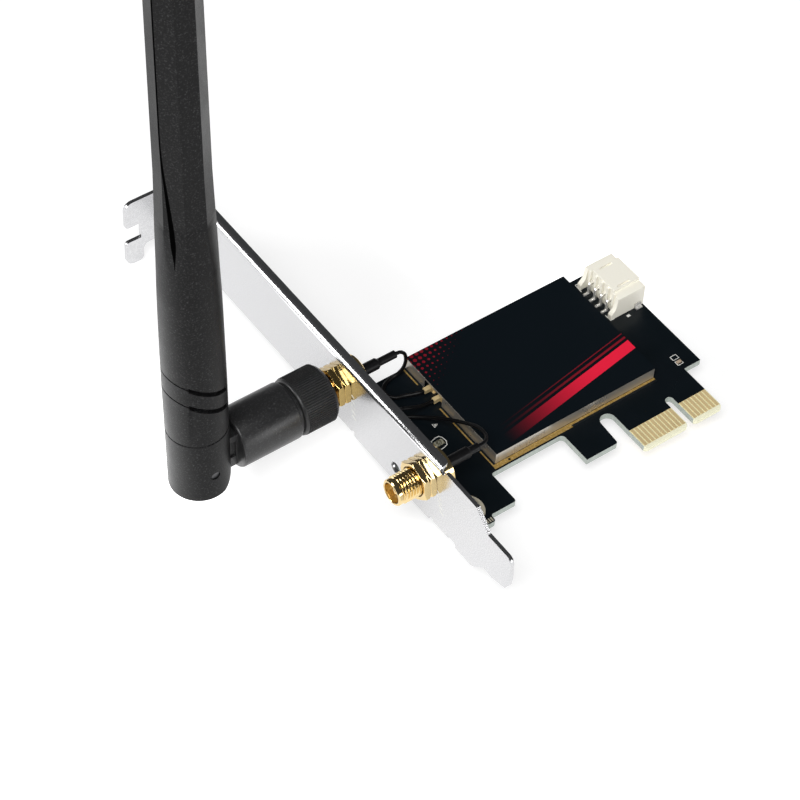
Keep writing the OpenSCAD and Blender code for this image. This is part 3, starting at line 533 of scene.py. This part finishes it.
def label_finish():
    """The printed film: a slanted band, two stripes and a corner of dots on a dark ground."""
    finish = Finish("label_print", LABEL_GROUND, 0.3, 0.0, 0.25)
    x, y, z = finish.axes()
    slope = y - (x - SLANT_FROM) * SLANT
    fade = finish.smooth(x, *PRINT_FADE)
    band = slope.between(*BAND)
    stripe = slope.between(*STRIPES[0]).larger(slope.between(*STRIPES[1]))
    cell_x, cell_y = (finish.node("ShaderNodeMath", {"operation": "PINGPONG"}, {0: along, 1: DOT_PITCH / 2})
                      for along in (x, y))
    dot_reach = finish.smooth(x + (DOT_CORNER - y) * DOT_SLANT, *DOT_FADE, DOT_RADIUS, 0.0)
    dots = cell_x * cell_x + cell_y * cell_y < dot_reach * dot_reach
    colour = finish.mix(band * fade, LABEL_GROUND, RED)
    colour = finish.mix(stripe * fade, colour, DEEP_RED)
    colour = finish.mix(dots, colour, DEEP_RED)
    finish.paint(finish.mix(z.between(*FILM_SIDE), colour, LABEL_SIDE))
    finish.bump(finish.noise(2.5, 2), 0.01)
    return finish


FINISHES["label_film"] = label_finish()
print("label finish has", len(FINISHES["label_film"].tree.nodes), "nodes")

# %% [markdown]
# ## The status lamp
#
# The lamp is a small pale moulding with a darker, glassy dome and a gold solder pad at each end. It is one part
# of the model, so its colours are told apart by place again: the two ends and the lowest tenth of a millimetre
# are gold, and the dome begins at about half a millimetre.

# %% Lamp finish
LAMP_MIDDLE, PAD_FROM, PAD_TOP = 12.0, 1.02, 0.11
DOME_FROM = 0.46


def lamp_finish():
    """The lamp: pale body, dark dome, and gold pads at both ends."""
    finish = Finish("lamp_body", (0.12, 0.11, 0.08), 0.3)
    x, _, z = finish.axes()
    pads = (z < PAD_TOP).larger(abs(x - LAMP_MIDDLE) > PAD_FROM)
    dome = finish.mix(finish.noise(0.5, 2), (0.05, 0.05, 0.035), (0.20, 0.19, 0.13))
    body = finish.mix(z > DOME_FROM, (0.30, 0.29, 0.22), dome)
    finish.paint(finish.mix(pads, body, (0.83, 0.66, 0.34)))
    finish.set("Metallic", pads)
    finish.bump(finish.noise(0.3, 2), 0.004)
    return finish


FINISHES["lamp_body"] = lamp_finish()
print("lamp finish has", len(FINISHES["lamp_body"].tree.nodes), "nodes")

# %% [markdown]
# ## Dressing the parts
#
# The model's record names a material slot for each part, and most finishes have the name of their slot, so one
# loop dresses them all. The gold strip shares its slot with the fingers, but it has a finish of its own.

# %% Dress the parts
SLOTS = {row["node"]: row["material_slot"] for row in frame["record"]["subparts"]}
for node, thing in frame["nodes"].items():
    for slot in thing.material_slots:
        slot.material = FINISHES["rim_gold" if node == "ground_rim" else SLOTS[node]].material
for lead in LEADS:
    lead.data.materials.append(FINISHES["lead_jacket"].material)
print("dressed", len(SLOTS), "nodes with", len(FINISHES), "finishes")

# %% [markdown]
# ## Edges that catch the light
#
# No folded, moulded or turned edge is perfectly sharp. On the real card the rim of the bracket shows as a thin
# bright line, because the rolled edge mirrors the lamps while the flat beside it does not. A copy of each such
# part has its doubled points merged, and the Bevel modifier then rounds every edge that turns by more than a
# set angle. Weighted normals keep the flat faces flat in the light, but they would spoil the round parts, which
# go without. The copy stands for the measured part, which stays as it is underneath. A copy may also have a
# finish of its own: the swivel barrel is a little glossier than the collar. The upper nuts are darker than the
# lower ones, which is painted shade: their gold is darkened to stand for the black collar that they mirror.

# %% Rounded edges
BODY = {node: body for body, nodes in frame["record"]["behaviour"]["bodies"].items() for node in nodes}
# The upper nuts' darker finish here is painted shade; the barrel's finish is a glossier skin.
OWN_FINISH_AND_PAINTED_SHADE = {"swivel_barrel": "barrel_skin", "upper_front_nut": "nut_brass", "upper_locknut": "nut_brass"}
ROUND_PARTS = ("swivel_barrel", "antenna_blade")
MERGE_MM = 0.002
SHARP = math.radians(35)
EDGES = {
    "bracket": 0.2, "shield_can": 0.12, "header_housing": 0.12, "circuit_board": 0.05, "upper_front_nut": 0.1,
    "upper_locknut": 0.1, "lower_front_nut": 0.1, "lower_locknut": 0.1, "swivel_barrel": 0.14,
    "antenna_blade": 0.08, "header_pins": 0.06, "bracket_screws": 0.08, "edge_capacitor": 0.06,
}


def show(name, mesh, body, finish, nodes=()):
    """Puts a finished mesh in the scene, dresses it, and lets it move with its body."""
    own = OWN_FINISH_AND_PAINTED_SHADE.get(nodes[0] if nodes else name, finish)
    mesh.materials.clear()
    mesh.materials.append(FINISHES[own].material)
    piece = add_object(name, mesh)
    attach(piece, body)
    if nodes:
        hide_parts(*nodes)
    return piece


def plain_mesh(host):
    """The plain mesh that an object comes to with its modifiers."""
    graph = bpy.context.evaluated_depsgraph_get()
    return bpy.data.meshes.new_from_object(host.evaluated_get(graph))


def bake(name, mesh, modifiers):
    """Runs a few modifiers on a mesh and returns the plain result."""
    host = add_object(name + "_host", mesh)
    for kind, settings in modifiers:
        modifier = host.modifiers.new(kind.lower(), kind)
        for key, value in settings.items():
            setattr(modifier, key, value)
    result = plain_mesh(host)
    bpy.data.objects.remove(host)
    return result


def softened(node, width_mm):
    """A copy of a measured part with its sharp edges rounded, which stands for that part."""
    work = bmesh.new()
    work.from_mesh(frame["nodes"][node].data)
    bmesh.ops.remove_doubles(work, verts=work.verts, dist=MERGE_MM * MM)
    mesh = bpy.data.meshes.new(node + "_soft")
    work.to_mesh(mesh)
    work.free()
    if "custom_normal" in mesh.attributes:
        mesh.attributes.remove(mesh.attributes["custom_normal"])
    smooth_faces(mesh)
    mesh.set_sharp_from_angle(angle=SHARP)
    steps = [("BEVEL", {"width": width_mm * MM, "segments": 2, "limit_method": "ANGLE", "angle_limit": SHARP,
                        "use_clamp_overlap": True, "miter_outer": "MITER_ARC", "loop_slide": True})]
    if node not in ROUND_PARTS:
        steps.append(("WEIGHTED_NORMAL", {"keep_sharp": False, "weight": 80}))
    mesh = bake(node, mesh, steps)
    return show(node + "_soft", mesh, BODY[node], SLOTS[node], [node])


for node, width in EDGES.items():
    piece = softened(node, width)
    print(node, "now has", len(piece.data.polygons), "faces")

# %% [markdown]
# ## Turned pieces with a real thread
#
# An antenna jack is turned brass, and its thread is what the eye goes to first. A thread is a groove that moves
# along the bar as it goes round, so the radius of each point depends on both its distance and its angle. The
# piece is a stack of rings. Each ring is a distance from the bracket and a radius, and the radius may be a
# function of the angle, which is all that a helix needs.

# %% Threaded jacks
UPPER_JACK, LOWER_JACK = (37.07, 9.5), (8.1, 9.5)
AROUND = 96
SHARP_RING = math.radians(38)
THREAD_FROM, THREAD_TO, PITCH = 3.02, 7.15, 0.7056
CREST, ROOT, RUN_OUT = 3.1, 2.68, 0.3
ROWS = 64


def turned(name, rings, centre):
    """A closed tube about a line along X. A ring is a distance out from the bracket, and a radius."""
    work = bmesh.new()
    loops = []
    for out, radius in rings:
        loop = []
        for k in range(AROUND):
            angle = math.tau * k / AROUND
            r = radius(angle) if callable(radius) else radius
            spot = (-out, centre[0] + r * math.cos(angle), centre[1] + r * math.sin(angle))
            loop.append(work.verts.new(Vector(spot) * MM))
        loops.append(loop)
    for first, second in zip(loops, loops[1:] + loops[:1]):
        for k in range(AROUND):
            after = (k + 1) % AROUND
            work.faces.new((first[k], first[after], second[after], second[k]))
    bmesh.ops.recalc_face_normals(work, faces=work.faces)
    mesh = bpy.data.meshes.new(name)
    work.to_mesh(mesh)
    work.free()
    smooth_faces(mesh)
    mesh.set_sharp_from_angle(angle=SHARP_RING)
    return mesh


def thread_radius(out):
    """The radius of the thread at a distance, as a function of the angle. It fades out at both ends."""
    fade = min(1, (out - THREAD_FROM) / RUN_OUT, (THREAD_TO - out) / RUN_OUT)

    def radius(angle):
        phase = (out / PITCH - angle / math.tau) % 1
        # A little more than a plain zigzag, cut off at both ends, so that crests and roots are flat.
        height = min(1, max(0, 1.3 * (1 - abs(2 * phase - 1)) - 0.1))
        return ROOT + (CREST - ROOT) * height * max(0, fade)

    return radius


thread = [THREAD_FROM + (THREAD_TO - THREAD_FROM) * i / ROWS for i in range(ROWS + 1)]
# From the rear crimp along the outside to the mouth, and back through the bore.
JACK = [
    (-7.0, 0.5), (-7.0, 0.9), (-6.9, 1.0), (-4.3, 1.0), (-4.3, 4.2), (-4.2, 4.3), (-0.96, 4.3), (-0.86, 4.2),
    (-0.86, 3.05), (2.98, 3.05), (2.98, ROOT), *((out, thread_radius(out)) for out in thread), (7.2, 2.84),
    (7.26, 2.9), (7.95, 2.9), (8.2, 2.65), (8.2, 2.36), (8.14, 2.3), (-3.6, 2.3), (-3.6, 0.5),
]
turns = round((THREAD_TO - THREAD_FROM) / PITCH, 1)
for side, centre in (("upper", UPPER_JACK), ("lower", LOWER_JACK)):
    mesh = turned(side + "_jack_turned", JACK, centre)
    show(side + "_jack_turned", mesh, "card", "jack_gold", [side + "_jack_body"])
    print(side, "jack has", len(mesh.polygons), "faces and", turns, "turns of thread")

# %% [markdown]
# ## Shapes made by rules
#
# The collar has seventy-six ribs, the header four solder joints, and the bracket two rows of printed ticks.
# Such things are one small shape at many places, which is what Geometry Nodes are for. The class below holds a
# tree with named inputs. Its last two nodes make the copies real and give them their material, and `grow` runs
# the tree once and keeps the plain mesh. Ribs and ticks are both short bars, so the class can also make a bar.

# %% Rules for shapes
class Recipe(Graph):
    """A rule for a shape, with named inputs."""

    def __init__(self, name, **inputs):
        super().__init__(bpy.data.node_groups.new(name, "GeometryNodeTree"))
        face = self.tree.interface
        for key, kind in {"Base": "Geometry", "Finish": "Material", **inputs}.items():
            face.new_socket(key, in_out="INPUT", socket_type="NodeSocket" + kind)
        face.new_socket("Result", in_out="OUTPUT", socket_type="NodeSocketGeometry")
        self.entry = self.tree.nodes.new("NodeGroupInput")
        self.exit = self.tree.nodes.new("NodeGroupOutput")

    def ask(self, name):
        """The value of a named input."""
        return Wire(self, self.entry.outputs[name])

    def bar(self, sides):
        """A bar with closed ends from Start to End, whose radius is Thick."""
        line = self.node("GeometryNodeCurvePrimitiveLine", {},
                         {"Start": self.ask("Start"), "End": self.ask("End")})
        circle = self.node("GeometryNodeCurvePrimitiveCircle", {},
                           {"Resolution": sides, "Radius": self.ask("Thick")})
        return self.swept(line, circle)

    def swept(self, path, profile):
        """A profile that is led along a path, with closed ends."""
        sockets = {"Curve": path, "Profile Curve": profile, "Fill Caps": True}
        return self.node("GeometryNodeCurveToMesh", {}, sockets)

    def copies(self, points, shape):
        """A shape at every point."""
        return self.node("GeometryNodeInstanceOnPoints", {}, {"Points": points, "Instance": shape})

    def end(self, shape):
        """Makes copies real, gives them their material, and closes the tree."""
        real = self.node("GeometryNodeRealizeInstances", {}, {"Geometry": shape})
        dressed = self.node("GeometryNodeSetMaterial", {}, {"Geometry": real, "Material": self.ask("Finish")})
        self.tree.links.new(dressed.socket, self.exit.inputs[0])

    def grow(self, name, base, finish, **values):
        """Runs the rule on a mesh and returns the plain result."""
        host = add_object(name + "_host", base)
        modifier = host.modifiers.new("rule", "NODES")
        modifier.node_group = self.tree
        values["Finish"] = FINISHES[finish].material
        for item in self.tree.interface.items_tree:
            if item.in_out == "INPUT" and item.name in values:
                modifier[item.identifier] = values[item.name]
        mesh = plain_mesh(host)
        host.modifiers.remove(modifier)
        bpy.data.objects.remove(host)
        mesh.name = name
        smooth_faces(mesh)
        return mesh


print("ready to grow shapes")

# %% [markdown]
# ## The ribbed collar
#
# The coupling collar is a plain turned ring with fine ribs for the fingers. One rib is a thin six-sided bar,
# made by sweeping a small circle along a short line. A ring of points round the jack says where the bars go,
# and the turned core is joined to them at the end.

# %% Collar
RIBS, RIB_RING, RIB_THICK = 76, 6.165, 0.18
RIB_FROM, RIB_TO = 4.95, 11.6
# From the end at the bracket over the outside to the far end. The tube closes itself along the bore.
CORE = [
    (4.2, 4.3), (4.2, 5.6), (4.3, 5.72), (5.3, 6.1), (5.45, 6.14), (11.66, 6.14), (11.7, 6.2), (12.0, 6.2),
    (12.2, 6.12), (12.35, 5.95), (12.4, 5.7), (12.4, 4.3),
]

rule = Recipe("ribbed_collar", Ribs="Int", Ring="Float", Thick="Float", Start="Vector", End="Vector",
              Centre="Vector")
ring = rule.node("GeometryNodeMeshCircle", {}, {"Vertices": rule.ask("Ribs"), "Radius": rule.ask("Ring")})
upright = rule.node("GeometryNodeTransform", {}, {"Geometry": ring, "Translation": rule.ask("Centre"),
                                                  "Rotation": (0, math.pi / 2, 0)})
joined = rule.node("GeometryNodeJoinGeometry", {}, {"Geometry": rule.copies(upright, rule.bar(sides=6))})
rule.tree.links.new(rule.ask("Base").socket, joined.socket.node.inputs["Geometry"])
rule.end(joined)

core = turned("collar_core", CORE, UPPER_JACK)
collar = rule.grow("ribbed_collar", core, "collar_plastic", Ribs=RIBS, Ring=RIB_RING * MM, Thick=RIB_THICK * MM,
                   Start=(-RIB_FROM * MM, 0, 0), End=(-RIB_TO * MM, 0, 0),
                   Centre=(0, UPPER_JACK[0] * MM, UPPER_JACK[1] * MM))
show("ribbed_collar", collar, "collar", "collar_plastic", ["coupling_collar"])
print("collar has", len(collar.polygons), "faces")

# %% [markdown]
# ## Solder and ticks
#
# Each header pin ends in a bright drop of solder, and beside each jack the bracket carries a few short printed
# ticks. Both are one small shape on a list of points: a ball that is pressed flat, and a short bar.

# %% Solder and ticks
DROP_SIZE = (0.6, 0.34, 0.3)
FEET = [(63.22, 34.76, 0.12), (62.6, 32.6, 0.12), (62.5, 30.6, 0.12), (62.4, 28.65, 0.12)]
TICK_OUT, TICK_THICK = 0.06, 0.13
TICK_TIP = (0, 0.7 * MM, 0.25 * MM)


def loose_points(name, points):
    """A mesh of loose points, in millimetres."""
    mesh = bpy.data.meshes.new(name)
    mesh.from_pydata([Vector(p) * MM for p in points], [], [])
    return mesh


def row(first, last, count):
    """Points in a row on the bracket, from one place to another."""
    spots = [Vector(first).lerp(Vector(last), i / (count - 1)) for i in range(count)]
    return [(TICK_OUT, y, z) for y, z in spots]


rule = Recipe("drops", Size="Vector")
ball = rule.node("GeometryNodeMeshUVSphere", {}, {"Segments": 14, "Rings": 8, "Radius": 1.0})
drop = rule.node("GeometryNodeTransform", {}, {"Geometry": ball, "Scale": rule.ask("Size")})
rule.end(rule.copies(rule.ask("Base"), drop))
feet = loose_points("feet", FEET)
solder = rule.grow("pin_solder", feet, "pin_tin", Size=tuple(size * MM for size in DROP_SIZE))
show("pin_solder", solder, "card", "pin_tin")

rule = Recipe("ticks", Start="Vector", End="Vector", Thick="Float")
rule.end(rule.copies(rule.ask("Base"), rule.bar(sides=8)))
TICKS = row((32.9, 9.3), (31.9, 3.4), 5) + row((3.6, 8.7), (2.1, 3.7), 5)
marks = rule.grow("bracket_ticks", loose_points("ticks", TICKS), "ink_white", Thick=TICK_THICK * MM,
                  Start=TICK_TIP, End=tuple(-v for v in TICK_TIP))
show("bracket_ticks", marks, "card", "ink_white")
print(len(FEET), "drops of solder and", len(TICKS), "ticks")

# %% [markdown]
# ## Printed outlines
#
# The thin white outlines on the board are no copies of one shape: there a narrow strip follows a line. So the
# rule turns the edges of a small mesh into a curve and sweeps a flat section along it.

# %% Printed outlines
INK_WIDE, INK_HIGH = 0.2, 0.024
PRINT_LINES = {
    "lamp_outline": [(11.0, 20.3), (12.4, 20.65), (13.2, 20.6), (13.65, 19.9), (13.75, 18.8), (13.3, 17.9),
                     (12.3, 17.6), (10.9, 17.55), (10.7, 18.4), (10.7, 19.4), (11.0, 20.3)],
    "header_corner_a": [(63.68, 37.98), (62.36, 38.0), (62.24, 35.74)],
    "header_corner_b": [(62.31, 27.6), (62.35, 25.84), (63.47, 25.93)],
    "pin_mark": [(66.0, 24.6), (66.7, 24.6), (66.7, 24.75), (66.0, 24.75), (66.0, 24.9), (66.7, 24.9),
                 (66.7, 25.05), (66.0, 25.05)],
    "small_part_a": [(66.2, 9.7), (67.7, 9.7), (67.7, 10.8), (66.2, 10.8), (66.2, 9.7)],
    "small_part_b": [(66.2, 8.1), (67.6, 8.1), (67.6, 9.2), (66.2, 9.2), (66.2, 8.1)],
    "triangle_a": [(14.9, 23.4), (13.9, 22.9), (13.9, 23.9), (14.9, 23.4), (14.3, 23.2), (14.2, 23.5),
                   (14.5, 23.4)],
}


def line_mesh(name, lines, z):
    """Open lines on the board as a mesh of points and edges, in millimetres."""
    points, edges = [], []
    for line in lines:
        first = len(points)
        points += [Vector((x, y, z)) * MM for x, y in line]
        edges += [(first + i, first + i + 1) for i in range(len(line) - 1)]
    mesh = bpy.data.meshes.new(name)
    mesh.from_pydata(points, edges, [])
    return mesh


rule = Recipe("printed_lines", Wide="Float", High="Float")
path = rule.node("GeometryNodeMeshToCurve", {}, {"Mesh": rule.ask("Base")})
path = rule.node("GeometryNodeSetCurveNormal", {"mode": "Z_UP"}, {"Curve": path})
section = rule.node("GeometryNodeCurvePrimitiveQuadrilateral", {},
                    {"Width": rule.ask("Wide"), "Height": rule.ask("High")})
rule.end(rule.swept(path, section))
lines = line_mesh("printed_lines", PRINT_LINES.values(), INK_HIGH / 2)
outlines = rule.grow("board_print", lines, "ink_white", Wide=INK_WIDE * MM, High=INK_HIGH * MM)
show("board_print", outlines, "card", "ink_white")
print("printed lines have", len(outlines.polygons), "faces")

# %% [markdown]
# ## Floor and light
#
# Product pictures of this kind stand on a pale sweep under wide, soft lamps. The lamps are big compared with
# the card, so shadows are faint, and shiny metal has something broad to mirror. The sweep is given painted
# light: it glows a little all over, and more round two places, painted pools of light as if lit from below,
# which also light the card. The sky is kept nearly dark, because a metal that mirrors an evenly white world
# looks like grey paint.

# %% Studio
FLOOR_SIZE, FLOOR_GAP = 6, 0.0002
FLOOR_GLOW = 0.66
# Each glow is a painted pool of light: a place along X and Y, a reach, and how many times brighter its middle
# is.
GLOWS = [(-55.0, 58.0, 42.0, 4.0), (95.0, 75.0, 60.0, 2.6)]
SKY, SKY_STRENGTH = (0.9, 0.92, 0.95, 1), 0.06
AIM = (0.02, 0.03, 0.02)
# Each lamp is a place and a size in metres, and a power in watts.
LAMPS = {
    "key": ((-0.45, -0.35, 0.95), 0.6, 11.0),
    "left": ((-0.75, 0.5, 0.4), 0.4, 5.0),
    "low_right": ((0.42, -0.95, 0.16), 0.45, 3.0),
}

bpy.ops.mesh.primitive_plane_add(size=FLOOR_SIZE, location=(0, 0, cad_low.z - FLOOR_GAP))
floor = bpy.context.object
floor.name = "floor"
floor_finish = Finish("floor_white", (0.45, 0.45, 0.45), 0.8, 0.0, 0.0)
x, y, _ = floor_finish.axes()
glow = (1, 1, 1)
# Painted pools of light: the floor's emission is brighter round each of these places.
for spot_x, spot_y, reach, gain in GLOWS:
    away = (x - spot_x) * (x - spot_x) + (y - spot_y) * (y - spot_y)
    near = floor_finish.smooth(away, 0, reach * reach, 1.0, 0.0)
    glow = floor_finish.mix(near, glow, (gain, gain, gain))
floor_finish.set("Emission Color", glow)
floor_finish.shader.inputs["Emission Strength"].default_value = FLOOR_GLOW
floor.data.materials.append(floor_finish.material)


def lamp(name, place, size, power):
    """A square soft lamp at a place, turned to the middle of the card."""
    data = bpy.data.lights.new(name, "AREA")
    data.size, data.energy = size, power
    thing = add_object(name, data)
    thing.location = place
    thing.rotation_mode = "QUATERNION"
    thing.rotation_quaternion = (Vector(AIM) - Vector(place)).to_track_quat("-Z", "Y")


for name, (place, size, power) in LAMPS.items():
    lamp(name, place, size, power)
world = bpy.data.worlds.new("studio")
bpy.context.scene.world = world
world.use_nodes = True
background = world.node_tree.nodes["Background"].inputs
background["Color"].default_value = SKY
background["Strength"].default_value = SKY_STRENGTH
bpy.context.scene.view_settings.view_transform = "Standard"
print("lamps:", ", ".join(LAMPS))
